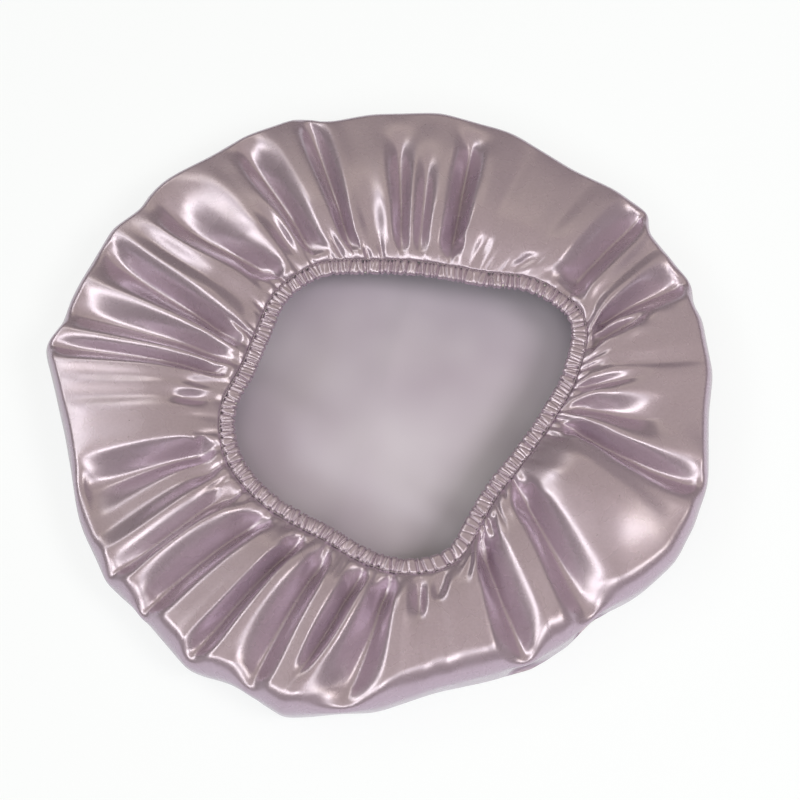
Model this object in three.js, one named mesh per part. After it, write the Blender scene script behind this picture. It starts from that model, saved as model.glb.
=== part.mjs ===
// A satin hair bonnet lying on its crown with the mouth up.
// Millimetres, +Z up, origin on the table under the middle of the bonnet's outline.
import * as THREE from "three";

// Outlines: a mean radius from the hub (the middle of the mouth), and how far the cloth lies outside it
// every 30 degrees, anticlockwise from +X.
const EDGE_RADIUS = 165;
const EDGE_WANDER = [-13, 0, 4, 13, 20, 24, 10, 3, -6, -20, -25, -18];
const MOUTH_RADIUS = 75;
const MOUTH_WANDER = [-8, 21, 4, -1, 11, 4, 9, 4, -5, 2, -15, -20];

// Cloth
const CLOTH = 0.6; // wall of the satin
const RIM_HEIGHT = 32; // middle of the hem above the table
const PUFF = 0.15; // crest of the skirt above the rim, to each millimetre of the skirt's width
const CREST_SHARE = 0.25; // of the skirt's width, from the seam out to that crest
const EDGE_DROP = 2; // from the rim's level down to where the skirt rolls over at its edge
const ROLL_OUT = 10; // from there out to the widest level
const ROLL_DROP = 15; // from there down to the widest level
const ROLL_INSET = 9; // from the widest level in to where the crown meets the table

// Lines of the skirt's folds in order: angles at the seam, half way out and at the edge, in degrees, and
// height of the cloth over the smooth skirt, below 0 in a valley.
const FOLDS = [
  [9, 7, 7, -4], [12, 10, 9, 0], [19, 20, 19, 0], [24, 26, 26, -10], [27, 31, 33, 1], [30, 34, 36, -7],
  [34, 37, 39, 0], [38, 41, 42, -11], [45, 46, 47, 1], [56, 58, 59, 1], [71, 73, 73, 1], [75, 76, 78, -11],
  [81, 81, 82, -1], [85, 85, 86, -8], [88, 88, 89, 0], [91, 91, 92, -9], [95, 94, 95, 0], [101, 100, 100, -3],
  [105, 104, 104, 0], [107, 107, 107, -9], [110, 110, 110, 0], [114, 113, 114, 1], [119, 119, 120, -9],
  [122, 122, 123, 0], [127, 127, 128, 1], [130, 136, 136, -11], [137, 141, 140, 0], [144, 145, 143, -3],
  [150, 148, 146, 0], [156, 153, 150, -11], [160, 157, 156, 0], [163, 162, 161, -9], [166, 165, 165, -1],
  [169, 168, 168, -8], [171, 170, 170, 1], [180, 180, 179, 2], [189, 189, 188, 1], [192, 193, 194, -11],
  [195, 197, 202, -6], [201, 205, 206, -1], [206, 209, 210, -7], [213, 212, 213, 0], [221, 217, 218, -9],
  [227, 225, 225, 1], [234, 231, 230, -11], [237, 235, 235, 0], [243, 241, 242, -7], [249, 247, 245, 1],
  [255, 251, 247, -9], [260, 254, 249, 0], [265, 261, 257, -11], [267, 265, 264, 0], [270, 270, 269, 1],
  [282, 281, 280, 1], [294, 291, 289, 1], [296, 293, 292, -11], [308, 304, 301, 0], [326, 315, 311, -11],
  [330, 322, 320, 0], [345, 337, 336, 1], [353, 344, 342, 0], [356, 347, 346, -11], [359, 351, 350, 1],
  [362, 358, 358, -7], [366, 363, 363, 0],
];
const FOLD_START = 0.3; // share of the skirt's width over which the folds grow from the seam
const FOLD_END = 0.93; // share of the skirt's width where they have died away
const COLUMN_PITCH = 5.5; // degrees between columns of the skirt's faces where no fold is, about
const NOTCH = 0.15; // how far a fold draws the edge in or out, to each millimetre of its height
const SKIRT_ROWS = [0, 0.12, 0.3, 0.62]; // shares of the width, from the seam out
const ROLL_ROWS = [0, 45, 90]; // degrees round the roll, from the skirt to the widest level

// Hem casing: the gathered edge turned back on itself round the elastic
const GATHERS = 90; // puckers round the casing
const PUCKER = 0.45; // height of a pucker
const BORE_SLACK = 0.7; // each side of the elastic, in the bore
const SLIT_ANGLE = 8; // half of the gap between the casing's two lips, in degrees of its section
const CASING_POINTS = 7; // on each face of the casing's wall, lip to lip

// Elastic: a flat woven strip whose two ends lap and are sewn together
const ELASTIC_WIDTH = 6;
const ELASTIC_THICKNESS = 0.6;
const LAP_LENGTH = 14;
const LAP_AT = 84; // where the lap begins, along the mouth from +X
const LAP_RAMP = 45; // length over which the strip climbs onto its own start
const ELASTIC_STEPS = 96;

// Sewing threads
const THREAD = 0.5; // across the flats of a thread
const STITCHES = 90; // round the hem
const STITCH_RISE = 0.9; // from the seam's level to the top of a stitch
const SEAM_ENDS = 98; // where the hem stitching starts and stops, along the mouth from +X
const SEAM_END_GAP = 1.5; // between the two cut ends of a thread
const JOIN_STITCHES = 7; // across the lap
const JOIN_MARGIN = 1.4; // from the edge of the strip to that zigzag

// Fits
const CLEARANCE = 0.3; // between pieces that lie on each other
const SEAM_CLEARANCE = 0.6; // each side of the hem threads, between the casing and the crown

// What follows from these sizes
const SEAM_GAP = THREAD + 2 * SEAM_CLEARANCE;
const STITCH_SINK = (THREAD + CLEARANCE) / 2;
const JOIN_WIDTH = ELASTIC_WIDTH - 2 * JOIN_MARGIN;
const LAP_STEP = ELASTIC_THICKNESS + CLEARANCE;
const LAP_STACK = LAP_STEP + ELASTIC_THICKNESS + 2 * (CLEARANCE + THREAD);
const BORE_HEIGHT = LAP_STACK + 2 * CLEARANCE;
const CASING_WIDTH = ELASTIC_WIDTH + 2 * (BORE_SLACK + CLOTH);
const CASING_HEIGHT = BORE_HEIGHT + 2 * CLOTH;
const ROLL_HEIGHT = RIM_HEIGHT - EDGE_DROP - ROLL_DROP;
const DEGREES = 360;
const UP = new THREE.Vector3(0, 0, 1);

// Closed curve round the hub.
function outline(radius, wander, height) {
  const points = wander.map((outside, i) => {
    const turn = (i / wander.length) * 2 * Math.PI;
    return new THREE.Vector3(Math.cos(turn), Math.sin(turn), 0).setLength(radius + outside).setZ(height);
  });
  return new THREE.CatmullRomCurve3(points, true, "catmullrom", 0.5);
}

const mouth = outline(MOUTH_RADIUS, MOUTH_WANDER, RIM_HEIGHT);
const edge = outline(EDGE_RADIUS, EDGE_WANDER, 0);
const mouthLength = mouth.getLength();

// Place on the rim: a share of the turn round the mouth, a distance out from the casing's inner
// fold and a height above the rim.
function onRim(turn, out, up) {
  const share = THREE.MathUtils.euclideanModulo(turn, 1);
  const along = mouth.getTangent(share);
  const outward = new THREE.Vector3(along.y, -along.x, 0).normalize();
  return mouth.getPoint(share).addScaledVector(outward, out).setZ(RIM_HEIGHT + up);
}

// The same by the distance along the mouth from +X.
function alongRim(distance, out, up) {
  const share = THREE.MathUtils.euclideanModulo(distance / mouthLength, 1);
  return onRim(mouth.getUtoTmapping(share), out, up);
}

// Closed skin over rings of equally many points: a loop of rings, or a run of rings with its ends closed.
// A ring turns anticlockwise as seen looking back from the rings that follow it. From ring turnBack on, the
// rings run back along the other face of a wall, and their faces are split like those across from them.
function skin(rings, isLoop, turnBack = rings.length) {
  const count = rings[0].length;
  const positions = rings.flat().flatMap((point) => point.toArray());
  const faces = [];
  const joins = isLoop ? rings.length : rings.length - 1;
  for (let i = 0; i < joins; i++) {
    const here = i * count;
    const next = ((i + 1) % rings.length) * count;
    for (let j = 0; j < count; j++) {
      const k = (j + 1) % count;
      const split = i < turnBack ? [j, k] : [k, j];
      faces.push(here + j, here + k, next + split[1], here + split[0], next + k, next + j);
    }
  }
  if (!isLoop) {
    closeEnd(rings[0], 0, positions, faces, false);
    closeEnd(rings.at(-1), (rings.length - 1) * count, positions, faces, true);
  }
  const geometry = new THREE.BufferGeometry();
  geometry.setAttribute("position", new THREE.Float32BufferAttribute(positions, 3));
  geometry.setIndex(faces);
  geometry.computeVertexNormals();
  return geometry;
}

// Fan of triangles from a ring to its middle.
function closeEnd(ring, first, positions, faces, isLast) {
  const middle = new THREE.Vector3();
  ring.forEach((point) => middle.addScaledVector(point, 1 / ring.length));
  const hub = positions.length / 3;
  positions.push(...middle.toArray());
  ring.forEach((_, j) => {
    const a = first + j;
    const b = first + ((j + 1) % ring.length);
    faces.push(hub, ...(isLast ? [a, b] : [b, a]));
  });
}

// Columns of the crown: one along each line of the folds, and more where those lie far apart.
function crownColumns() {
  const columns = [];
  FOLDS.forEach((line, i) => {
    const next = FOLDS[(i + 1) % FOLDS.length];
    const wrap = i + 1 === FOLDS.length ? DEGREES : 0;
    const count = Math.max(1, Math.round((next[0] + wrap - line[0]) / COLUMN_PITCH));
    for (let c = 0; c < count; c++) {
      const [seam, middle, edge] = [0, 1, 2].map((k) => THREE.MathUtils.lerp(line[k], next[k] + wrap, c / count));
      columns.push({ seam, middle, edge, height: THREE.MathUtils.lerp(line[3], next[3], c / count) });
    }
  });
  return columns;
}

// Where a column leaves the seam and where it is widest, in plan.
function columnEnds(column) {
  const seam = onRim(column.seam / DEGREES, CASING_WIDTH + SEAM_GAP, 0).setZ(0);
  const rim = edge.getPoint(THREE.MathUtils.euclideanModulo(column.edge / DEGREES, 1));
  return { seam, rim: rim.setLength(rim.length() + NOTCH * column.height) };
}

// Point of the skirt's outer face: out is 0 at the seam and 1 at the widest level.
function skirtPoint(column, out) {
  const { seam, rim } = columnEnds(column);
  const sweep = Math.atan2(seam.x * rim.y - seam.y * rim.x, seam.dot(rim));
  const bow = 4 * out * (1 - out) * (column.middle - (column.seam + column.edge) / 2);
  const turn = sweep * out + THREE.MathUtils.degToRad(bow);
  const reach = THREE.MathUtils.lerp(seam.length(), rim.length(), out);
  const puff = PUFF * seam.distanceTo(rim);
  const beforeCrest = Math.max(0, 1 - out / CREST_SHARE);
  const pastCrest = Math.max(0, (out - CREST_SHARE) / (1 - CREST_SHARE));
  const smooth = puff * (1 - beforeCrest ** 2) - (puff + EDGE_DROP) * pastCrest;
  const grown = THREE.MathUtils.smoothstep(out, 0, FOLD_START);
  const fold = column.height * grown * Math.sqrt(Math.max(0, 1 - (out / FOLD_END) ** 6));
  return seam.clone().applyAxisAngle(UP, turn).setLength(reach).setZ(RIM_HEIGHT + smooth + fold);
}

// Point of the roll's outer face, by the degrees round it.
function rollPoint(column, degrees) {
  const { seam, rim } = columnEnds(column);
  const angle = THREE.MathUtils.degToRad(degrees);
  const inset = ROLL_OUT * (1 - Math.sin(angle));
  const point = skirtPoint(column, 1 - inset / seam.distanceTo(rim));
  return point.setZ(THREE.MathUtils.lerp(ROLL_HEIGHT, point.z, Math.cos(angle)));
}

// Point where the crown meets the table.
function footPoint(column) {
  const { rim } = columnEnds(column);
  return rim.setLength(rim.length() - ROLL_INSET);
}

// Rings of the crown's outer face, from the table up and in to the seam.
function crownRings() {
  const columns = crownColumns();
  const skirt = SKIRT_ROWS.map((out) => columns.map((column) => skirtPoint(column, out)));
  const roll = ROLL_ROWS.map((degrees) => columns.map((column) => rollPoint(column, degrees)));
  const foot = columns.map((column) => footPoint(column));
  return [...skirt, ...roll, foot].reverse();
}

// The same rings moved in by the cloth's wall, along the normals of the outer face.
function insideOf(rings) {
  const normals = skin(rings, false).getAttribute("normal");
  const count = rings[0].length;
  return rings.map((ring, i) =>
    ring.map((point, j) => {
      const normal = new THREE.Vector3().fromBufferAttribute(normals, i * count + j);
      return point.clone().addScaledVector(normal, -CLOTH);
    }),
  );
}

// One disc of satin: flat on the table, rolled up at the edge and gathered in folds to the seam.
function crownGeometry() {
  const outer = crownRings();
  const flush = (ring, height) => ring.map((point) => point.clone().setZ(height));
  const inner = insideOf(outer);
  inner[0] = flush(inner[0], CLOTH);
  inner[inner.length - 1] = outer.at(-1).map((point) => point.clone().setZ(point.z - CLOTH));
  return skin([...outer, ...inner.reverse()], false, outer.length);
}

// Section of the casing at one ring: its outer face from the lower lip to the upper, then its bore.
function casingSection(distance, pucker) {
  const face = (wall) =>
    Array.from({ length: CASING_POINTS }, (_, i) => {
      const sweep = DEGREES - 2 * SLIT_ANGLE;
      const angle = THREE.MathUtils.degToRad(-SLIT_ANGLE - (sweep * i) / (CASING_POINTS - 1));
      const squared = (value) => Math.sign(value) * Math.sqrt(Math.abs(value));
      const out = CASING_WIDTH / 2 + (CASING_WIDTH / 2 - wall) * squared(Math.cos(angle));
      const up = (CASING_HEIGHT / 2 - wall + pucker) * squared(Math.sin(angle));
      return alongRim(distance, out, up);
    });
  return [...face(0), ...face(CLOTH).reverse()];
}

function casingGeometry() {
  const count = 2 * GATHERS;
  const rings = Array.from({ length: count }, (_, i) =>
    casingSection((mouthLength * i) / count, (i % 2) * PUCKER),
  );
  return skin(rings, true);
}

// Flat section of the elastic.
function stripSection(distance, middle) {
  const inner = (CASING_WIDTH - ELASTIC_WIDTH) / 2;
  const outer = inner + ELASTIC_WIDTH;
  const half = ELASTIC_THICKNESS / 2;
  return [
    alongRim(distance, inner, middle - half),
    alongRim(distance, inner, middle + half),
    alongRim(distance, outer, middle + half),
    alongRim(distance, outer, middle - half),
  ];
}

// Strip in the bore, once round the mouth and on over its own start.
function elasticGeometry() {
  const length = mouthLength + LAP_LENGTH;
  const rings = Array.from({ length: ELASTIC_STEPS + 1 }, (_, i) => {
    const run = (length * i) / ELASTIC_STEPS;
    const climb = THREE.MathUtils.smoothstep(run, mouthLength - LAP_RAMP, mouthLength);
    return stripSection(LAP_AT + run, LAP_STEP * (climb - 0.5));
  });
  return skin(rings, false);
}

// Square section of a thread that runs round the rim.
function threadSection(distance, out, up) {
  const half = THREAD / 2;
  return [
    alongRim(distance, out - half, up),
    alongRim(distance, out, up + half),
    alongRim(distance, out + half, up),
    alongRim(distance, out, up - half),
  ];
}

// Lockstitch thread in the seam: side is 1 for the thread on top and -1 for the one underneath.
function hemThreadGeometry(side) {
  const steps = 2 * STITCHES;
  const length = mouthLength - SEAM_END_GAP;
  const rings = Array.from({ length: steps + 1 }, (_, i) => {
    const up = side * (i % 2 ? STITCH_RISE : STITCH_SINK);
    return threadSection(SEAM_ENDS + (length * i) / steps, CASING_WIDTH + SEAM_GAP / 2, up);
  });
  return skin(rings, false);
}

// Zigzag on the lapped ends of the elastic.
function joinThreadGeometry() {
  const up = LAP_STEP / 2 + ELASTIC_THICKNESS / 2 + CLEARANCE + THREAD / 2;
  const rings = Array.from({ length: JOIN_STITCHES + 1 }, (_, i) => {
    const across = i % 2 ? JOIN_WIDTH / 2 : -JOIN_WIDTH / 2;
    return threadSection(LAP_AT + (LAP_LENGTH * i) / JOIN_STITCHES, CASING_WIDTH / 2 + across, up);
  });
  return skin(rings, false);
}

const satin = new THREE.MeshStandardMaterial({ color: 0xb3a3ab, roughness: 0.3, metalness: 0 });
const elastic = new THREE.MeshStandardMaterial({ color: 0xe6e2e0, roughness: 0.85, metalness: 0 });
const thread = new THREE.MeshStandardMaterial({ color: 0x8f7b8a, roughness: 0.6, metalness: 0 });

function piece(name, geometry, material) {
  const mesh = new THREE.Mesh(geometry, material);
  mesh.name = name;
  return mesh;
}

const bonnet = new THREE.Group();
bonnet.add(
  piece("crown", crownGeometry(), satin),
  piece("hem_casing", casingGeometry(), satin),
  piece("elastic_band", elasticGeometry(), elastic),
  piece("elastic_join_thread", joinThreadGeometry(), thread),
  piece("hem_needle_thread", hemThreadGeometry(1), thread),
  piece("hem_bobbin_thread", hemThreadGeometry(-1), thread),
);

// The hub is off the middle of the outline, so the bonnet is set back over the origin.
const middle = new THREE.Box3().setFromObject(bonnet).getCenter(new THREE.Vector3());
bonnet.position.set(-middle.x, -middle.y, 0);

const part = new THREE.Group();
part.add(bonnet);
export default part;
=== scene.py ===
import math

import bpy
import numpy as np
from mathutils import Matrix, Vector


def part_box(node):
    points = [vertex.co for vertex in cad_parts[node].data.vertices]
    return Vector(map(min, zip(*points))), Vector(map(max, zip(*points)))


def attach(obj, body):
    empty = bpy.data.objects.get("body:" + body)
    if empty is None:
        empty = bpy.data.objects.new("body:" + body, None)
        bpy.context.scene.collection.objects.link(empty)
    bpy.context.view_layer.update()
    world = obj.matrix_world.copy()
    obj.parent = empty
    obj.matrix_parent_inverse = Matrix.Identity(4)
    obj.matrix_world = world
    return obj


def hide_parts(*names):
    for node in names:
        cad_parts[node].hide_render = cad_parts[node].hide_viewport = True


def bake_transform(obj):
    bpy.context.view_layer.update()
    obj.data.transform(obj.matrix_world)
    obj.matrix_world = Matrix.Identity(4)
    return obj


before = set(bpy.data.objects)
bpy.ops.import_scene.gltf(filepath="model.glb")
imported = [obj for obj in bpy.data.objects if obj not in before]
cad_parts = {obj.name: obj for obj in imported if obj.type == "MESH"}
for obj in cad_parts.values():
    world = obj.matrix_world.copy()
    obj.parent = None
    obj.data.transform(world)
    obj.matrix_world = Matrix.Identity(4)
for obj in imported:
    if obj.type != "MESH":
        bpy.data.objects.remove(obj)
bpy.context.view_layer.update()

# Sizes are in millimetres and angles in degrees; meshes are made in metres.
MM = 0.001
RNG = np.random.default_rng(12)

# Outline: corners as angle about the hub, the middle of the mouth, anticlockwise from +X, and radius.
EDGE = [
    (2, 153), (10, 159), (21, 164), (24, 163), (27, 168), (40, 168), (43, 176), (50, 174), (58, 171),
    (71, 178), (84, 182), (96, 181), (104, 180), (108, 187), (118, 188), (124, 186), (133, 190),
    (137, 189), (139, 186), (145, 190), (158, 187), (163, 185), (167, 190), (174, 179), (182, 171),
    (198, 168), (209, 166), (217, 160), (230, 161), (237, 154), (248, 156), (263, 144), (276, 133),
    (288, 132), (297, 134), (306, 134), (314, 133), (323, 142), (332, 149), (340, 151), (349, 153),
]
EDGE_SHIFT = -3.5
CORNER_SMOOTHING = 3
# Mouth: radii from the hub every 15 degrees.
MOUTH = [67, 81, 96, 91, 79, 75, 75, 78, 85, 85, 79, 78,
         84, 84, 79, 73, 70, 73, 76, 74, 61, 55, 55, 59]
RIM_HEIGHT = 32
MOUTH_SAMPLES = 2881
# The skirt rises from the seam to a crest, by and at shares of its width, and falls to the shoulder.
PUFF = 0.12
CREST_SHARE = 0.36
CREST_ROUNDING = 12
CREST_FADE = 20
SHOULDER = 30
WIDEST_HEIGHT = 17
# How far the edge rolls over before its widest level: angle and length.
ROLL = [(0, 6), (195, 6), (215, 9), (255, 10), (275, 13), (310, 13), (330, 8), (345, 6)]
# How far the cloth is tucked in under the edge: angle and length.
TUCK = [(0, 9), (235, 9), (250, 5), (270, 3), (285, 1), (300, 0), (315, 1), (330, 5), (345, 9)]
CASING_WIDTH = 8.6
CASING_HEIGHT = 4.9
# Seam: how far it lies out from the mouth's edge and up from the rim's level, and over what length the
# skirt leaves that height.
SEAM_OUT = 7.8
SEAM_UP = 1.3
SEAM_FADE = 12
# Cloth: its thickness, its height over the table, the disc it is cut from, and the length of a column.
CLOTH = 0.4
TABLE_GAP = 0.3
DISC_RADIUS = 270
COLUMN_LENGTH = 150

# Lines of the skirt's folds in order: angle at the seam, half way out and at the edge, height over
# the smooth skirt, share of the skirt where the line ends, sharpness of the fold.
FOLDS = [
    (9, 7.5, 7, -5, 0.42, 1.8), (11.5, 9.7, 9.5, 0, 0.9, 0.8), (14, 11.2, 10.8, -2, 0.95, 2.4),
    (16, 14.5, 14, 0, 0.9, 1), (19, 20.2, 19.5, 0.5, 0.55, 0.8), (22, 22.7, 21.5, -11, 0.5, 2.4),
    (23.5, 24.3, 22.6, -3, 0.8, 0.8), (24.8, 27.2, 27, -14.5, 0.96, 1.8),
    (26.5, 31.2, 33, 1, 0.97, 0.8), (30, 33.5, 35.5, -3, 0.95, 1), (33.5, 36.6, 39, 0, 0.97, 0.8),
    (38, 41.3, 42, -14.5, 0.96, 2.2), (45.5, 46.5, 47.5, 1, 0.97, 1.2), (49.5, 50, 50.5, 1, 0.95, 0.8),
    (52.2, 52.5, 53, -3, 0.16, 1.6), (56, 57, 58, 1, 0.95, 0.5), (62.8, 63, 63.3, 1, 0.95, 0.5),
    (65.5, 65.8, 66, -3, 0.2, 1.6), (68, 68.7, 69, 1.2, 0.95, 0.8), (71, 73.4, 73.5, 1.5, 0.98, 1.6),
    (74.5, 76.2, 77.5, -14.5, 0.8, 2.4), (80, 79.6, 80.5, -1, 0.6, 0.8), (83, 82.6, 83.3, -1, 0.6, 0.8),
    (85.5, 85.3, 85.8, -8, 0.6, 2.2), (88.5, 88.2, 88.5, 0, 0.75, 0.8),
    (91.5, 91.2, 91.5, -9.5, 0.75, 2.4), (94.5, 94, 95, 0.5, 0.9, 0.8),
    (100.5, 99.5, 100, -4, 0.42, 0.8), (105.5, 104.5, 104.5, 0.5, 0.93, 1.2),
    (107.5, 107.2, 107.5, -11, 0.97, 2.6), (110, 109.8, 109.8, 0.5, 0.95, 0.8),
    (114, 114, 114.5, 1, 0.93, 1.2), (119.3, 119.6, 120.2, -12, 0.9, 2.6),
    (121.2, 122, 123, 0, 0.95, 0.8), (123.5, 124, 124.5, -5, 0.42, 0.8), (127, 127, 128, 1, 0.95, 1.2),
    (129, 131.5, 131, -4, 0.85, 1.6), (130.5, 136.8, 136.5, -14.5, 0.88, 2.4),
    (137.5, 141.3, 140.5, 0.5, 0.95, 1.2), (144, 145, 143, -3, 0.85, 1.6),
    (150, 148, 145.5, 0, 0.96, 0.8), (156.5, 152.7, 149.5, -14.5, 0.95, 2.2),
    (160, 157, 156, 0.5, 0.97, 0.8), (163, 162, 161.5, -12, 0.97, 2.2),
    (166.5, 165.4, 165.5, -1.5, 0.7, 0.8), (169, 168, 168.3, -11, 0.98, 2.6),
    (171, 170, 170.3, 1, 0.98, 1.6), (173.4, 173.2, 173, -3, 0.22, 1.6),
    (175.3, 175, 174.7, 1.5, 0.95, 0.8), (177.6, 177.4, 177, -4, 0.28, 0.8),
    (180.5, 180, 179.5, 2, 0.95, 0.4), (189.5, 188.6, 188.5, 1, 0.97, 1.6),
    (192, 192.6, 193.5, -14.5, 0.95, 2.4), (195, 197.3, 202, -6, 0.96, 0.8),
    (197.5, 200, 203.5, -7.5, 0.95, 1), (201, 205, 206.5, -1, 0.95, 1),
    (206, 209.3, 210.3, -9.5, 0.97, 2.4), (212.5, 211.4, 214, 0.5, 0.97, 0.8),
    (219, 217.8, 219, -14.5, 0.97, 2.2), (224.5, 222.3, 222.5, 0.5, 0.9, 0.8),
    (229.5, 229, 227.5, 0.5, 0.9, 0.8), (233, 231, 230.5, -14.5, 0.94, 2.4),
    (236, 232.8, 233.5, 0, 0.97, 0.8), (239.5, 236.2, 237.2, 0, 0.97, 0.8),
    (243.5, 241.5, 242, -13, 0.95, 2.2), (247, 245.3, 245, 0.5, 0.6, 0.8),
    (251.5, 248.3, 246.6, 0.5, 0.6, 0.8), (255.5, 251.2, 247.6, -12, 0.72, 2.4),
    (260, 254, 249, 0.5, 0.97, 0.8), (265, 262, 258.5, -14.5, 0.95, 2.4),
    (267, 265.3, 264, 0.5, 0.97, 0.8), (270, 270, 269, 1, 0.95, 0.5), (274, 273.7, 273.3, -5, 0.4, 2),
    (276.5, 276, 275.5, 1, 0.95, 0.8), (279.3, 279, 278.7, -3, 0.28, 2),
    (283, 282, 281, 1.5, 0.95, 0.4), (294.3, 290.8, 289.5, 1, 0.98, 1.6),
    (297.5, 295.6, 294.6, -14.5, 0.96, 2.4), (306, 303.8, 300.8, 0, 0.97, 0.8),
    (316, 309.5, 304.5, -1.5, 0.9, 1), (326, 315.5, 311, -14.5, 0.97, 2.4),
    (330, 322.3, 319.8, 0.5, 0.97, 0.8), (336, 331, 329, 5, 0.76, 0.3), (345, 337.5, 336, 5, 0.8, 0.3),
    (353.5, 344, 342, 0.5, 0.97, 0.8), (356.5, 347.4, 346, -14.5, 0.96, 2.4),
    (358.8, 351, 350.3, 1, 0.97, 0.8), (362.5, 358.3, 358, -9.5, 0.64, 1.6),
    (366, 363.5, 363, 0, 0.9, 1.2),
]
FOLD_SEAM, FOLD_MIDDLE, FOLD_EDGE, FOLD_HEIGHT, FOLD_END, FOLD_SHARP = np.array(FOLDS, float).T
# Shares of a fold's height that are left at the seam and, for long folds, past its end.
SEAM_KEPT = 0.1
SEAM_RISE = 0.22
END_KEPT = 0.18
LONG_FOLD = (0.8, 0.95)
SHARPNESS = 0.6
# Smoothing: of the lines' slant, in quarter degrees, and of the folds, in columns for one neighbour.
SLANT_SMOOTHING = 31
FOLD_SMOOTHING = 300
# Folds go on in the wall under the edge, as at this share of the skirt.
WALL_FOLD = 0.2
WALL_FOLD_AT = 0.88

# Small gathers at the seam: spacing and its spread, ranges of depth and length, width, and the angles
# where the cloth is pulled flat.
GATHER_SPACING = 6.0
GATHER_JITTER = 0.45
GATHER_DEPTH = (0.6, 3.0)
GATHER_REACH = (6, 22)
GATHER_WIDTH = 3.2
GATHER_ROUNDING = 0.5
GATHER_START = (-2.5, 3)
GATHER_FULL = 0.25
CALM = [(44, 70), (173, 186), (269, 293)]
CALM_DEPTH = 0.3

# Mesh of the cloth: share of a column that is skirt, and numbers of columns and rows.
SKIRT_SHARE = 0.78
COARSE_COLUMNS = 352
COARSE_ROWS = 51
COLUMNS = 1056
ROWS = 141
# Cloth solver: stiffness in bending, shear and straightening, which is less near the seam, and the share
# of a column past which the cloth is held.
BENDING = 0.01
SHEAR = 0.15
STRAIGHTENING = 0.25
SEAM_REACH = 0.2
REACH_RISE = (0.02, 0.3)
HELD_FROM = 0.96

# Base under the mouth: its rings as shares of the outer ring, where they grow round and rise, and the
# height that it lies at.
BASE_SHARES = (0.975, 0.95, 0.92, 0.88, 0.84, 0.79, 0.74, 0.68, 0.62,
               0.56, 0.5, 0.43, 0.36, 0.29, 0.22, 0.15, 0.08)
BASE_ROUNDED = (1, 0.85)
BASE_RISE = (0.95, 0.6)
BASE_LIFT = 4.2
BASE_WAVES = 8
FEWEST_POINTS = 140

CASING_STEPS = 3200
CASING_POINTS = 24
CASING_SQUARENESS = 0.8
# The casing is flatter towards the seam, from the first to the second cosine.
SEAM_FLATTENING = 0.55
FLATTENED = (0.7, 1.0)
# Pleats of the casing: spacing, the near and far sides that are pulled flat, as angle, spread and extra
# spacing, spread of the spacing, and ranges of depth, slant and width.
PLEAT_SPACING = 1.75
FLAT_SIDES = [(283, 16, 2.2), (65, 12, 1.2)]
PLEAT_JITTER = 0.4
PLEAT_DEPTH = (0.3, 1.3)
PLEAT_SLANT = (-1.1, 1.1)
PLEAT_WIDTH = (0.7, 1.5)
PLEAT_ROUNDING = 0.12
PLEAT_SINK = 0.5
LEAST_SIZE = 0.35
WIDTH_KEPT = 0.4

# Stitches of the hem and the lap of the elastic, at lengths along the mouth.
STITCHES = 310
STITCH_POINTS = 6
STITCH_START = 98
STITCH_GAP = 1.5
THREAD_RADIUS = 0.22
NEEDLE_INSET = 0.1
NEEDLE_UP = 0.15
NEEDLE_WAVE = 0.5
BOBBIN_UP = -1.2
BOBBIN_WAVE = 0.4
LOOSE_LENGTH = 8
LOOSE_POINTS = 12
LOOSE_SWAY = 1.2
LOOSE_UP = 0.6
LOOSE_ARCH = 2.2
LAP_START = 84
LAP_LENGTH = 14
LAP_CLIMB = 45
LAP_RISE = 0.9
JOIN_STITCHES = 7
JOIN_POINTS = 84
JOIN_RADIUS = 0.2
JOIN_SWING = 1.6
JOIN_UP = 0.95
ELASTIC_WIDTH = 6
ELASTIC_THICKNESS = 0.6
ELASTIC_STEPS = 700

# Middle part of a noise texture's values.
NOISE_MIDDLE = (0.3, 0.7)

ELEVATION = math.radians(68)
DISTANCE = 0.809
LENS = 70
SENSOR = 36
AIM_FROM_HUB = (-2.9, 18.6)


def smoothstep(low, high, x):
    """0 up to low, 1 from high on, and smooth between."""
    t = np.clip((x - low) / (high - low), 0, 1)
    return t * t * (3 - 2 * t)


def around(a, b, period):
    """Signed shortest difference on a loop."""
    return np.mod(a - b + period / 2, period) - period / 2


def on_circle(degrees):
    """Points of the unit circle."""
    return np.column_stack([np.cos(np.radians(degrees)), np.sin(np.radians(degrees))])


def bearing(points):
    """Angles of points about the hub."""
    return np.degrees(np.arctan2(points[:, 1], points[:, 0]))


def by_angle(table, degrees):
    """Values between those of a table of angles and values."""
    return np.interp(degrees, *np.array(table, float).T, period=360)


def smoothed(values, half):
    """Values round a loop, each averaged with a number of neighbours on both sides."""
    window = np.hanning(2 * half + 3)[1:-1]
    return np.convolve(np.pad(values, half, "wrap"), window / window.sum(), "valid")


def spline(p0, p1, p2, p3, t):
    """Smooth curve from p1 to p2 with its neighbours p0 and p3."""
    return 0.5 * (2 * p1 + (p2 - p0) * t + (2 * p0 - 5 * p1 + 4 * p2 - p3) * t**2
                  + (3 * p1 - p0 - 3 * p2 + p3) * t**3)


def crease(distance, width, rounding):
    """Cross section of a fold, 1 in its middle: narrow there, with swelling sides."""
    return np.clip(1 - np.sqrt(distance**2 + rounding**2) / width, 0, None) ** 2


def closed_curve(radii, turns):
    """Points of a closed smooth curve through evenly spaced radii, at shares of a turn."""
    count = len(radii)
    points = on_circle(np.arange(count) / count * 360) * np.array(radii, float)[:, None]
    at = np.mod(turns, 1.0) * count
    first = np.floor(at).astype(int)
    neighbours = (points[(first + k) % count] for k in (-1, 0, 1, 2))
    return spline(*neighbours, (at - first)[:, None])


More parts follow.
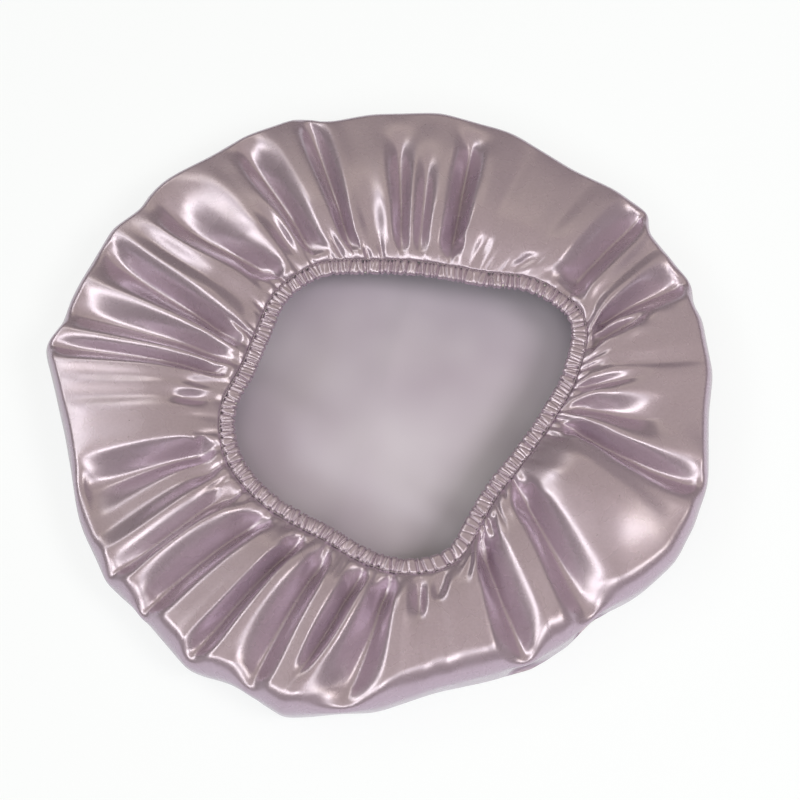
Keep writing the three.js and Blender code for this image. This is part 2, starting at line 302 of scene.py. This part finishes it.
def outline(degrees):
    """Points of the outline at angles about the hub: straight runs between slightly rounded corners."""
    fine = np.arange(720) / 2
    corner_angle, corner_radius = np.array(EDGE, float).T
    corners = on_circle(corner_angle) * corner_radius[:, None]
    x, y = (np.interp(fine, corner_angle, along, period=360) for along in corners.T)
    radius = np.interp(degrees, fine, smoothed(np.hypot(x, y), CORNER_SMOOTHING), period=360)
    return on_circle(degrees) * radius[:, None] + (0, EDGE_SHIFT)


# The mouth by its length, and the hub from the frame's casing
dense_turns = np.linspace(0, 1, MOUTH_SAMPLES)
dense_mouth = closed_curve(MOUTH, dense_turns)
dense_steps = np.linalg.norm(np.diff(dense_mouth, axis=0), axis=1)
dense_length = np.concatenate([[0], np.cumsum(dense_steps)])
MOUTH_LENGTH = dense_length[-1]
casing_low, casing_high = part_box("hem_casing")
casing_middle = (np.array(casing_low[:2]) + np.array(casing_high[:2])) / 2 / MM
HUB = casing_middle - (dense_mouth.min(0) + dense_mouth.max(0)) / 2


def scatter(spacing, jitter):
    """Lengths along the mouth with about the given spacing, a function of the share of a turn."""
    found = []
    at = 0.0
    while at < MOUTH_LENGTH - 1.0:
        found.append(at)
        turn = np.interp(at, dense_length, dense_turns)
        at += spacing(turn) * RNG.uniform(1 - jitter, 1 + jitter)
    return np.array(found)


def rim_frame(lengths):
    """Points of the mouth's edge, outward directions and shares of a turn at lengths along it from +X."""
    turns = np.interp(np.mod(lengths, MOUTH_LENGTH), dense_length, dense_turns)
    step = 1e-3
    along = closed_curve(MOUTH, turns + step) - closed_curve(MOUTH, turns - step)
    along /= np.linalg.norm(along, axis=1)[:, None]
    outward = np.stack([along[:, 1], -along[:, 0]], 1)
    return closed_curve(MOUTH, turns), outward, turns


def rim_path(lengths, out, up):
    """Points at lengths along the mouth, out from its edge and up from the rim's level."""
    edge, outward, _ = rim_frame(np.asarray(lengths, float))
    plan = edge + outward * np.asarray(out, float).reshape(-1, 1) + HUB
    return np.column_stack([plan, RIM_HEIGHT + np.broadcast_to(up, len(plan))])


def mesh_object(name, points, faces, smooth=True):
    """A new object in the scene from points in millimetres."""
    mesh = bpy.data.meshes.new(name)
    mesh.from_pydata([tuple(p) for p in np.asarray(points) * MM], [], faces)
    mesh.update()
    if smooth:
        mesh.polygons.foreach_set("use_smooth", [True] * len(mesh.polygons))
    obj = bpy.data.objects.new(name, mesh)
    bpy.context.scene.collection.objects.link(obj)
    return obj


def set_uv(obj, flat):
    """Store where each point lies on the flat cloth, in metres."""
    loops = np.zeros(len(obj.data.loops), int)
    obj.data.loops.foreach_get("vertex_index", loops)
    layer = obj.data.uv_layers.new(name="flat_cloth")
    layer.data.foreach_set("uv", (np.asarray(flat)[loops] * MM).ravel())


def band_faces(lines, across, closed=False, flipped=False):
    """Quads between neighbouring loops of points, and from the last loop to the first if closed."""
    faces = []
    for i in range(lines if closed else lines - 1):
        a, b = i * across, (i + 1) % lines * across
        for k in range(across):
            m = (k + 1) % across
            faces.append((a + k, a + m, b + m, b + k) if flipped else (a + k, b + k, b + m, a + m))
    return faces


# Small gathers, drawn once for all rows of the skirt
gather_at = scatter(lambda turn: GATHER_SPACING, GATHER_JITTER)
gather_depth = RNG.uniform(*GATHER_DEPTH, len(gather_at))
gather_reach = RNG.uniform(*GATHER_REACH, len(gather_at))
gather_angle = np.interp(gather_at, dense_length, dense_turns) * 360
for low, high in CALM:
    gather_depth[(gather_angle > low) & (gather_angle < high)] *= CALM_DEPTH


# Skirt: columns run from the seam out over the edge, and rows run round
def column_lines(columns):
    """Lengths along the mouth, and where each column leaves the seam and crosses the outline."""
    lengths = np.arange(columns) / columns * MOUTH_LENGTH
    mouth_point, outward, turns = rim_frame(lengths)
    fine = np.arange(1440) / 4
    shift = smoothed(np.interp(fine, FOLD_SEAM, FOLD_EDGE - FOLD_SEAM, period=360), SLANT_SMOOTHING)
    edge_angle = turns * 360 + np.interp(turns * 360, fine, shift, period=360)
    return lengths, mouth_point + outward * SEAM_OUT, outline(edge_angle)


def skirt_height(run, width, roll):
    """Height of the smooth skirt: up from the seam to a crest, down to the shoulder and over it."""
    crest = CREST_SHARE * width
    past = run - crest
    puff = PUFF * width
    slope = (RIM_HEIGHT + puff - SHOULDER) / (width - crest)
    z = RIM_HEIGHT + puff - puff * np.clip(-past / crest, 0, None) ** 2
    z -= slope * 0.5 * (past + np.hypot(past, CREST_ROUNDING))
    z += slope * 0.5 * (np.hypot(crest, CREST_ROUNDING) - crest) * (1 - smoothstep(0, CREST_FADE, run))
    z += SEAM_UP * (1 - smoothstep(0, SEAM_FADE, run))
    over = np.clip((run - width + roll) / roll, 0, 1)
    return WIDEST_HEIGHT + (z - WIDEST_HEIGHT) * np.sqrt(1 - over**2)


def fold_height(angle, out):
    """Height of the folds over the smooth skirt: valleys hang between their ridges."""
    bow = 4 * out * (1 - out) * (FOLD_MIDDLE - (FOLD_SEAM + FOLD_EDGE) / 2)
    line = FOLD_SEAM + (FOLD_EDGE - FOLD_SEAM) * out + bow
    kept = END_KEPT * smoothstep(*LONG_FOLD, FOLD_END)
    ended = kept + (1 - kept) * np.sqrt(np.clip(1 - (out / FOLD_END) ** 6, 0, None))
    height = FOLD_HEIGHT * ended * (SEAM_KEPT + (1 - SEAM_KEPT) * smoothstep(0, SEAM_RISE, out))
    line = np.concatenate([[line[-1] - 360], line, [line[0] + 360]])
    height = np.pad(height, 1, "wrap")
    sharp = SHARPNESS * np.pad(FOLD_SHARP, 1, "wrap")
    angle = np.mod(angle - line[0], 360) + line[0]
    i = np.clip(np.searchsorted(line, angle, "right") - 1, 0, len(line) - 2)
    t = (angle - line[i]) / (line[i + 1] - line[i])
    share = 3 * t**2 - 2 * t**3 + sharp[i] * (t**3 - 2 * t**2 + t) + sharp[i + 1] * (t**3 - t**2)
    return height[i] + (height[i + 1] - height[i]) * share


def skirt_row(lines, out, folded):
    """Points of one row: out is 0 at the seam and 1 at the widest level."""
    lengths, seam, edge = lines
    width = np.linalg.norm(edge - seam, axis=1)
    plan = seam + (edge - seam) * out
    run = out * width
    z = skirt_height(run, width, by_angle(ROLL, bearing(edge)))
    if not folded:
        return np.column_stack([plan, z])
    z += smoothed(fold_height(bearing(plan), out), max(1, len(lengths) // FOLD_SMOOTHING))
    if len(lengths) == COLUMNS:
        spread = np.linalg.norm(plan, axis=1) / np.linalg.norm(seam, axis=1)
        for at, depth, reach in zip(gather_at, gather_depth, gather_reach):
            fade = smoothstep(*GATHER_START, run) * (1 - smoothstep(GATHER_FULL * reach, reach, run))
            distance = around(lengths, at, MOUTH_LENGTH) * spread
            z -= depth * fade * crease(distance, GATHER_WIDTH, GATHER_ROUNDING)
    return np.column_stack([plan, z])


def cloth_rows(columns, row_count, folded):
    """Rows of the cloth from the seam out to the widest level and under to the table."""
    lines = column_lines(columns)
    widest = skirt_row(lines, 1.0, folded)
    widest_radius = np.linalg.norm(widest[:, :2], axis=1)
    widest_angle = bearing(widest)
    tuck = by_angle(TUCK, widest_angle)
    rows = []
    for share in np.linspace(0, 1, row_count):
        if share <= SKIRT_SHARE:
            rows.append(skirt_row(lines, math.sin(share / SKIRT_SHARE * math.pi / 2), folded))
            continue
        down = (share - SKIRT_SHARE) / (1 - SKIRT_SHARE)
        turn = down * math.pi / 2
        radius = widest_radius - tuck * (1 - math.cos(turn))
        if folded:
            radius += WALL_FOLD * fold_height(widest_angle, WALL_FOLD_AT) * math.sin(math.pi * down)
        plan = widest[:, :2] * (radius / widest_radius)[:, None]
        height = TABLE_GAP + (widest[:, 2] - TABLE_GAP) * (1 - math.sin(turn))
        rows.append(np.column_stack([plan, height]))
    return np.stack(rows)


# Cloth solver
def pair_push(a, b, free_a, free_b, rest, stiff):
    """Moves that bring pairs of points towards their rest distance."""
    gap = b - a
    length = np.sqrt((gap * gap).sum(2)) + 1e-6
    return (stiff * (length - rest) / (length * (free_a + free_b + 1e-6)))[:, :, None] * gap


def pair_columns(x, free, rest, odd):
    """Bring neighbours round the cloth to their rest distance."""
    a, b = x[:, odd::2], np.roll(x[:, 1 - odd::2], -odd, 1)
    free_a, free_b = free[:, odd::2], np.roll(free[:, 1 - odd::2], -odd, 1)
    push = pair_push(a, b, free_a, free_b, rest[:, odd::2], 1.0)
    x[:, odd::2] += free_a[:, :, None] * push
    x[:, 1 - odd::2] -= np.roll(free_b[:, :, None] * push, odd, 1)


def pair_rows(x, free, rest, stiff, odd, lean):
    """Bring neighbours up the cloth, or on a diagonal, to their rest distance."""
    count = (len(x) - odd) // 2
    lower = slice(odd, odd + 2 * count, 2)
    upper = slice(odd + 1, odd + 2 * count, 2)
    a, b = x[lower], np.roll(x[upper], -lean, 1)
    free_a, free_b = free[lower], np.roll(free[upper], -lean, 1)
    push = pair_push(a, b, free_a, free_b, rest[lower], stiff)
    x[lower] += free_a[:, :, None] * push
    x[upper] -= np.roll(free_b[:, :, None] * push, lean, 1)


def bend(x, free):
    """Bending stiffness round the cloth: move each point against its fourth difference."""
    across = np.roll(x, -1, 1) + np.roll(x, 1, 1) - 2 * x
    x -= BENDING * free[:, :, None] * (np.roll(across, -1, 1) + np.roll(across, 1, 1) - 2 * across)


def straightener(row_count, reach):
    """Matrix that straightens columns: stiff against bends shorter than reach, and less so at the seam."""
    share = np.linspace(0, 1, row_count)
    step = COLUMN_LENGTH / (row_count - 1)
    local = reach * (SEAM_REACH + (1 - SEAM_REACH) * smoothstep(*REACH_RISE, share))
    weight = (local / step / (2 * np.pi)) ** 4 * STRAIGHTENING
    second = np.zeros((row_count, row_count))
    for r in range(1, row_count - 1):
        second[r, r - 1:r + 2] = (1, -2, 1)
    return np.linalg.inv(np.eye(row_count) + second.T @ (weight[:, None] * second)).astype(np.float32)


def settle(x, steps, carry, reach):
    """Let the cloth settle, with the lengths of its folds, and the seam and the base held."""
    row_count, columns = x.shape[:2]
    x = x.astype(np.float32)
    smooth = cloth_rows(columns, row_count, False)
    folded = cloth_rows(columns, row_count, True)
    rest_round = np.linalg.norm(np.roll(folded, -1, 1) - folded, axis=2)
    rest_up = np.linalg.norm(np.diff(smooth, axis=0), axis=2)
    rest_lean = np.hypot(rest_up, (rest_round[1:] + rest_round[:-1]) / 2).astype(np.float32)
    rest_round, rest_up = rest_round.astype(np.float32), rest_up.astype(np.float32)
    smooth = smooth.astype(np.float32)
    straight = straightener(row_count, reach)
    free = np.ones((row_count, columns), np.float32)
    free[0] = 0
    free[np.linspace(0, 1, row_count) > HELD_FROM] = 0
    before = x.copy()
    for _ in range(steps):
        moved = (x - before) * carry
        before = x.copy()
        x += moved * free[:, :, None]
        bend(x, free)
        off = (x - smooth).reshape(row_count, -1)
        x += free[:, :, None] * (straight @ off - off).reshape(x.shape)
        for lean in (1, -1):
            for odd in (0, 1):
                pair_rows(x, free, rest_lean, SHEAR, odd, lean)
        for odd in (0, 1):
            pair_columns(x, free, rest_round, odd)
        for odd in (0, 1):
            pair_rows(x, free, rest_up, 1.0, odd, 0)
        x[:, :, 2] = np.maximum(x[:, :, 2], TABLE_GAP)
    return x.astype(float)


def refine(x, columns, row_count):
    """The same cloth with more columns and rows."""
    old_rows, old_columns = x.shape[:2]
    at = np.arange(columns) / columns * old_columns
    first = np.floor(at).astype(int)
    neighbours = (x[:, (first + k) % old_columns] for k in (-1, 0, 1, 2))
    wide = spline(*neighbours, (at - first)[None, :, None])
    at = np.linspace(0, old_rows - 1, row_count)
    first = np.minimum(np.floor(at).astype(int), old_rows - 2)
    neighbours = (wide[np.clip(first + k, 0, old_rows - 1)] for k in (-1, 0, 1, 2))
    return spline(*neighbours, (at - first)[:, None, None])


# Crown
def base_relief(x, y):
    """Slack of the cloth on the table."""
    long_wave = 1.8 * np.sin(x / 17 + y / 29 + 0.6)
    cross_wave = 1.4 * np.sin(y / 15 - x / 40)
    broad_ridge = 3.0 * np.exp(-((x + 1.3 * y + 48) / 16) ** 2)
    narrow_ridge = 1.6 * np.exp(-((x - 0.3 * y + 18) / 8) ** 2)
    near_left_rise = 3.0 * smoothstep(10, 70, -0.8 * x - 0.6 * y)
    return long_wave + cross_wave + broad_ridge + narrow_ridge + near_left_rise


def halving_faces(first_old, count, first, fewer):
    """Triangles from a ring to one with half as many points."""
    faces = []
    for c in range(fewer):
        d = (c + 1) % fewer
        a, b, e = first_old + 2 * c, first_old + 2 * c + 1, first_old + (2 * c + 2) % count
        faces += [(a, first + c, b), (b, first + c, first + d), (b, first + d, e)]
    return faces


def crown_cloth():
    """The skirt, settled coarse and then fine, and the base in rings that close towards its middle."""
    start = cloth_rows(COARSE_COLUMNS, COARSE_ROWS, True)
    coarse = settle(start, steps=25, carry=0.4, reach=22)
    finer = cloth_rows(COLUMNS, ROWS, True) + refine(coarse - start, COLUMNS, ROWS)
    settled = settle(finer, steps=15, carry=0.3, reach=12)
    points = settled.reshape(-1, 3)
    faces = band_faces(ROWS, COLUMNS)
    flat_ring = on_circle(np.arange(COLUMNS) / COLUMNS * 360)
    base_radius = DISC_RADIUS - COLUMN_LENGTH
    flat = np.concatenate([flat_ring * radius for radius in np.linspace(DISC_RADIUS, base_radius, ROWS)])
    outer = settled[-1]
    middle = outer.mean(0)
    waves = np.fft.fft(outer, axis=0)
    waves[BASE_WAVES + 1:-BASE_WAVES] = 0
    round_ring = np.fft.ifft(waves, axis=0).real
    first_old, count = len(points) - COLUMNS, COLUMNS
    for share in BASE_SHARES:
        halve = count > FEWEST_POINTS
        fewer = count // 2 if halve else count
        step = COLUMNS // fewer
        rounded = outer + (round_ring - outer) * smoothstep(*BASE_ROUNDED, share)
        ring = middle + (rounded[::step] - middle) * share
        lift = BASE_LIFT + base_relief(ring[:, 0], ring[:, 1])
        ring[:, 2] = TABLE_GAP + lift * smoothstep(*BASE_RISE, share)
        first = len(points)
        points = np.concatenate([points, ring])
        flat = np.concatenate([flat, flat_ring[::step] * base_radius * share])
        if halve:
            faces += halving_faces(first_old, count, first, fewer)
        else:
            faces += [tuple(first_old + i for i in quad) for quad in band_faces(2, fewer)]
        first_old, count = first, fewer
    points = np.concatenate([points, points[first_old:].mean(0)[None]])
    flat = np.concatenate([flat, [[0.0, 0.0]]])
    faces += [(first_old + c, len(points) - 1, first_old + (c + 1) % count) for c in range(count)]
    points[:, :2] += HUB
    cloth = mesh_object("crown_cloth", points, faces)
    set_uv(cloth, flat)
    thick = cloth.modifiers.new("cloth", "SOLIDIFY")
    thick.thickness = CLOTH * MM
    thick.offset = -1
    thick.material_offset = 1
    thick.material_offset_rim = 0
    return cloth


# Casing
def pleat_spacing(turn):
    """Close pleats all round, fewer where the near and far sides are pulled flat."""
    spacing = PLEAT_SPACING
    for angle, spread, extra in FLAT_SIDES:
        spacing += extra * math.exp(-((turn * 360 - angle) / spread) ** 2)
    return spacing


def squared(value):
    """Sine or cosine of an oval with fuller corners."""
    return math.copysign(abs(value) ** CASING_SQUARENESS, value)


def casing_cloth():
    """The hem turned round the elastic and gathered in small pleats."""
    lengths = np.arange(CASING_STEPS) / CASING_STEPS * MOUTH_LENGTH
    edge, outward, _ = rim_frame(lengths)
    pleat_at = scatter(pleat_spacing, PLEAT_JITTER)
    pleat_depth = RNG.uniform(*PLEAT_DEPTH, len(pleat_at))
    pleat_slant = RNG.uniform(*PLEAT_SLANT, len(pleat_at))
    pleat_width = RNG.uniform(*PLEAT_WIDTH, len(pleat_at))
    loops = []
    for k in range(CASING_POINTS):
        angle = k / CASING_POINTS * 2 * math.pi
        cosine, sine = math.cos(angle), math.sin(angle)
        sink = np.zeros(CASING_STEPS)
        for at, depth, slant, width in zip(pleat_at, pleat_depth, pleat_slant, pleat_width):
            distance = around(lengths, at + slant * cosine, MOUTH_LENGTH)
            sink += depth * crease(distance, width, PLEAT_ROUNDING)
        shrink = np.clip(1 - PLEAT_SINK * sink, LEAST_SIZE, 1)
        flattened = 1 - SEAM_FLATTENING * smoothstep(*FLATTENED, cosine)
        reach_out = CASING_WIDTH / 2 * squared(cosine) * (WIDTH_KEPT + (1 - WIDTH_KEPT) * shrink)
        reach_up = CASING_HEIGHT / 2 * squared(sine) * flattened * shrink
        plan = edge + outward * (CASING_WIDTH / 2 + reach_out)[:, None] + HUB
        loops.append(np.column_stack([plan, RIM_HEIGHT + reach_up]))
    points = np.stack(loops, 1).reshape(-1, 3)
    faces = band_faces(CASING_STEPS, CASING_POINTS, closed=True, flipped=True)
    return mesh_object("hem_casing_cloth", points, faces)


# Threads and elastic
def tube(name, path, radius, sides=6):
    """Round thread along a list of points."""
    along = np.gradient(path, axis=0)
    along /= np.linalg.norm(along, axis=1)[:, None]
    side = np.cross(along, [0, 0, 1.0])
    side /= np.linalg.norm(side, axis=1)[:, None]
    up = np.cross(side, along)
    rings = []
    for k in range(sides):
        angle = k / sides * 2 * math.pi
        rings.append(path + radius * (math.cos(angle) * side + math.sin(angle) * up))
    points = np.stack(rings, 1).reshape(-1, 3)
    last = len(points) - sides
    ends = [tuple(range(sides)), tuple(last + k for k in reversed(range(sides)))]
    return mesh_object(name, points, band_faces(len(path), sides) + ends)


def hem_threads():
    """Upper thread with one loose end, and lower thread, of the row of stitches."""
    steps = STITCHES * STITCH_POINTS
    lengths = STITCH_START + np.linspace(0, MOUTH_LENGTH - STITCH_GAP, steps)
    phase = np.linspace(0, STITCHES, steps) * 2 * math.pi
    upper_out = SEAM_OUT - NEEDLE_INSET
    stitches = rim_path(lengths, upper_out, SEAM_UP + NEEDLE_UP + NEEDLE_WAVE * np.cos(phase))
    loose = np.linspace(0, 1, LOOSE_POINTS + 1)[1:]
    loose_along = lengths[-1] + LOOSE_SWAY * np.sin(4 * loose)
    loose_up = SEAM_UP + LOOSE_UP + LOOSE_ARCH * np.sin(2.4 * loose)
    loose_end = rim_path(loose_along, upper_out - LOOSE_LENGTH * loose, loose_up)
    upper = tube("hem_needle_thread_fine", np.concatenate([stitches, loose_end]), THREAD_RADIUS)
    lower_path = rim_path(lengths, SEAM_OUT, BOBBIN_UP + BOBBIN_WAVE * np.cos(phase))
    return upper, tube("hem_bobbin_thread_fine", lower_path, THREAD_RADIUS)


def join_thread():
    """Zigzag over the lap of the elastic."""
    phase = np.linspace(0, JOIN_STITCHES, JOIN_POINTS)
    lengths = LAP_START + phase * LAP_LENGTH / JOIN_STITCHES
    path = rim_path(lengths, CASING_WIDTH / 2 + JOIN_SWING * np.cos(phase * math.pi), JOIN_UP)
    return tube("elastic_join_thread_fine", path, JOIN_RADIUS)


def elastic_strip():
    """Flat strip round the mouth that climbs over its own start at the lap."""
    run = np.linspace(0, MOUTH_LENGTH + LAP_LENGTH, ELASTIC_STEPS)
    climb = LAP_RISE * (smoothstep(MOUTH_LENGTH - LAP_CLIMB, MOUTH_LENGTH, run) - 0.5)
    half_width, half_thickness = ELASTIC_WIDTH / 2, ELASTIC_THICKNESS / 2
    corners = []
    for across, up in ((-1, -1), (-1, 1), (1, 1), (1, -1)):
        out = CASING_WIDTH / 2 + across * half_width
        corners.append(rim_path(LAP_START + run, out, climb + up * half_thickness))
    points = np.stack(corners, 1).reshape(-1, 3)
    ends = [(3, 2, 1, 0), tuple(len(points) - 4 + k for k in range(4))]
    faces = band_faces(ELASTIC_STEPS, 4, flipped=True) + ends
    return mesh_object("elastic_band_woven", points, faces, smooth=False)


crown = crown_cloth()
casing = casing_cloth()
needle, bobbin = hem_threads()
join = join_thread()
elastic = elastic_strip()


# Materials
def fill(tree, made, inputs):
    """Set a node's inputs: a socket is linked and a plain value is set."""
    for key, value in inputs.items():
        if isinstance(value, bpy.types.NodeSocket):
            tree.links.new(value, made.inputs[key])
        else:
            made.inputs[key].default_value = value
    return made


def add_node(tree, kind, inputs):
    """A new node with its inputs set."""
    return fill(tree, tree.nodes.new(kind), inputs)


def calculate(tree, operation, *values):
    """Result of a maths node."""
    made = add_node(tree, "ShaderNodeMath", dict(enumerate(values)))
    made.operation = operation
    return made.outputs[0]


def noise(tree, coordinates, scale, detail=2.0):
    """Noise texture on given coordinates."""
    inputs = {"Vector": coordinates, "Scale": scale, "Detail": detail}
    return add_node(tree, "ShaderNodeTexNoise", inputs).outputs["Fac"]


def ribs(tree, coordinates, scale):
    """Fine parallel bands, for the plies of a thread and the weave of the elastic."""
    made = add_node(tree, "ShaderNodeTexWave", {"Vector": coordinates, "Scale": scale, "Distortion": 1.5})
    made.bands_direction = "DIAGONAL"
    return made.outputs["Fac"]


def map_range(tree, value, source, target):
    """Map a value from one range to another."""
    inputs = {"Value": value, "From Min": source[0], "From Max": source[1],
              "To Min": target[0], "To Max": target[1]}
    return add_node(tree, "ShaderNodeMapRange", inputs).outputs["Result"]


def tint(tree, value, dark, light):
    """Colour between two by a value."""
    made = tree.nodes.new("ShaderNodeMix")
    made.data_type = "RGBA"
    factor, first_colour, second_colour, colour_result = 0, 6, 7, 2
    fill(tree, made, {factor: value, first_colour: (*dark, 1), second_colour: (*light, 1)})
    return made.outputs[colour_result]


def bump(tree, height, strength, distance):
    """Normals of a small relief."""
    inputs = {"Height": height, "Strength": strength, "Distance": distance}
    return add_node(tree, "ShaderNodeBump", inputs).outputs[0]


def object_coordinates(tree):
    return tree.nodes.new("ShaderNodeTexCoord").outputs["Object"]


def material(name):
    """A new material with its node tree and its shader."""
    mat = bpy.data.materials.new(name)
    mat.use_nodes = True
    return mat, mat.node_tree, mat.node_tree.nodes["Principled BSDF"]


def satin_material():
    """Outside of the cloth: half metallic under a clear coat, with a fine weave."""
    mat, tree, shader = material("lilac_satin")
    coordinates = object_coordinates(tree)
    grain = noise(tree, coordinates, 900)
    cloud = noise(tree, coordinates, 90)
    flat_cloth = tree.nodes.new("ShaderNodeUVMap")
    flat_cloth.uv_map = "flat_cloth"
    threads = add_node(tree, "ShaderNodeMapping", {"Vector": flat_cloth.outputs[0], "Scale": (1, 0.25, 1)})
    weave = noise(tree, threads.outputs[0], 1500, detail=1.0)
    fill(tree, shader, {
        "Base Color": tint(tree, grain, (0.365, 0.265, 0.37), (0.47, 0.35, 0.475)),
        "Roughness": map_range(tree, cloud, NOISE_MIDDLE, (0.24, 0.31)),
        "Normal": bump(tree, weave, 0.3, 0.0001),
        "Metallic": 0.55,
        "Specular IOR Level": 0.8,
        "Coat Weight": 0.6,
        "Coat Roughness": 0.2,
        "Coat IOR": 1.6,
    })
    return mat


def reverse_material():
    """Inside of the cloth: matt and a little cloudy."""
    mat, tree, shader = material("satin_reverse")
    coordinates = object_coordinates(tree)
    grain = noise(tree, coordinates, 1300)
    cloud = map_range(tree, noise(tree, coordinates, 13), NOISE_MIDDLE, (0, 1))
    fill(tree, shader, {
        "Base Color": tint(tree, cloud, (0.31, 0.25, 0.345), (0.42, 0.36, 0.465)),
        "Normal": bump(tree, grain, 0.3, 0.0001),
        "Roughness": 0.6,
        "Sheen Weight": 0.3,
    })
    return mat


def ribbed_material(name, scale, dark, light, strength, depth, roughness):
    """Spun or woven yarn: fine bands in colour and relief."""
    mat, tree, shader = material(name)
    bands = ribs(tree, object_coordinates(tree), scale)
    fill(tree, shader, {
        "Base Color": tint(tree, bands, dark, light),
        "Normal": bump(tree, bands, strength, depth),
        "Roughness": roughness,
    })
    return mat


satin = satin_material()
reverse = reverse_material()
thread_mat = ribbed_material("sewing_thread", 700, (0.2, 0.145, 0.19), (0.4, 0.32, 0.38), 0.5, 0.0001, 0.6)
elastic_mat = ribbed_material("woven_elastic", 350, (0.62, 0.59, 0.57), (0.8, 0.77, 0.75), 0.6, 0.0002, 0.85)
for obj, mats in ((crown, (satin, reverse)), (casing, (satin,)), (needle, (thread_mat,)),
                  (bobbin, (thread_mat,)), (join, (thread_mat,)), (elastic, (elastic_mat,))):
    for mat in mats:
        obj.data.materials.append(mat)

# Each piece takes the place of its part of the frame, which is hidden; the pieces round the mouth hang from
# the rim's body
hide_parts("crown")
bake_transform(crown)
for piece, node, slot in ((casing, "hem_casing", "satin"), (needle, "hem_needle_thread", "thread"),
                          (bobbin, "hem_bobbin_thread", "thread"), (join, "elastic_join_thread", "thread"),
                          (elastic, "elastic_band", "elastic")):
    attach(piece, "rim")
    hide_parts(node)

# Floor: white to the camera, partly white in reflections, and it keeps the object's shadow
FLOOR_SIZE = 60
FLOOR_DROP = 0.0005
CAMERA_WHITE = 0.8
REFLECTED_WHITE = 0.3
bpy.ops.mesh.primitive_plane_add(size=FLOOR_SIZE, location=(0, 0, -FLOOR_DROP))
floor = bpy.context.object
floor.name = "floor"
floor_mat, tree, shader = material("white_floor")
floor.data.materials.append(floor_mat)
fill(tree, shader, {"Base Color": (0.63, 0.64, 0.74, 1), "Roughness": 0.9})
rays = tree.nodes.new("ShaderNodeLightPath").outputs
reflected = calculate(tree, "MAXIMUM", rays["Is Glossy Ray"], rays["Is Transmission Ray"])
reflected = calculate(tree, "MULTIPLY", reflected, REFLECTED_WHITE)
white_share = calculate(tree, "MULTIPLY_ADD", rays["Is Camera Ray"], CAMERA_WHITE, reflected)
white = tree.nodes.new("ShaderNodeEmission").outputs[0]
seen = add_node(tree, "ShaderNodeMixShader", {0: white_share, 1: shader.outputs[0], 2: white})
fill(tree, tree.nodes["Material Output"], {"Surface": seen.outputs[0]})

# World: darker low down than overhead, and a ring of bright patches that fades to the far right
RING_ENDS = (0.53, 0.79)
RING_FULL = (0.62, 0.71)
RING_LEVEL = 4.8
FAR_RIGHT = (0.6, 0.8, 0)
world = bpy.data.worlds.new("studio")
bpy.context.scene.world = world
world.use_nodes = True
tree = world.node_tree
direction = tree.nodes.new("ShaderNodeTexCoord").outputs["Generated"]
height = add_node(tree, "ShaderNodeSeparateXYZ", {0: direction}).outputs["Z"]
towards = add_node(tree, "ShaderNodeVectorMath", {0: direction, 1: FAR_RIGHT})
towards.operation = "DOT_PRODUCT"
ramp = add_node(tree, "ShaderNodeValToRGB", {0: height})
for element, position in zip(ramp.color_ramp.elements, RING_ENDS):
    element.position = position
    element.color = (0, 0, 0, 1)
for position in RING_FULL:
    element = ramp.color_ramp.elements.new(position)
    element.color = (1, 1, 1, 1)
faded = map_range(tree, towards.outputs["Value"], (0.05, 0.5), (1.0, 0.08))
ring = calculate(tree, "MULTIPLY", ramp.outputs[0], faded)
patches = map_range(tree, noise(tree, direction, 2.6, detail=0.0), (0.36, 0.6), (0.3, 1.3))
overhead = map_range(tree, height, (0.5, 0.75), (0.08, 0.4))
level = calculate(tree, "MULTIPLY_ADD", calculate(tree, "MULTIPLY", ring, patches), RING_LEVEL, overhead)
light = tint(tree, ring, (1.0, 1.0, 0.64), (0.88, 1.0, 0.88))
background = fill(tree, tree.nodes["Background"], {"Color": light, "Strength": level})
backdrop = add_node(tree, "ShaderNodeBackground", {"Color": (1, 1, 1, 1)})
camera_ray = tree.nodes.new("ShaderNodeLightPath").outputs["Is Camera Ray"]
sky = add_node(tree, "ShaderNodeMixShader", {0: camera_ray, 1: background.outputs[0], 2: backdrop.outputs[0]})
fill(tree, tree.nodes["World Output"], {"Surface": sky.outputs[0]})


# Lamps
def area_light(name, location, size, power):
    """Lamp that points at the origin and isn't mirrored in the satin."""
    data = bpy.data.lights.new(name, "AREA")
    data.size = size
    data.energy = power
    data.color = (1.0, 0.98, 0.88)
    lamp = bpy.data.objects.new(name, data)
    bpy.context.scene.collection.objects.link(lamp)
    lamp.location = location
    lamp.rotation_euler = (-Vector(location)).to_track_quat("-Z", "Y").to_euler()
    lamp.visible_glossy = False


area_light("key_right", (1.0, -0.4, 1.4), 0.6, 15)
area_light("fill_front", (-0.15, -0.7, 1.8), 1.0, 9)

# Camera
target = Vector((HUB[0] + AIM_FROM_HUB[0], HUB[1] + AIM_FROM_HUB[1], 0)) * MM
camera_data = bpy.data.cameras.new("camera")
camera_data.lens = LENS
camera_data.sensor_width = SENSOR
camera = bpy.data.objects.new("camera", camera_data)
bpy.context.scene.collection.objects.link(camera)
camera.location = target + Vector((0, -math.cos(ELEVATION), math.sin(ELEVATION))) * DISTANCE
camera.rotation_euler = (target - camera.location).to_track_quat("-Z", "Y").to_euler()
bpy.context.scene.camera = camera
bpy.context.scene.view_settings.view_transform = "Standard"
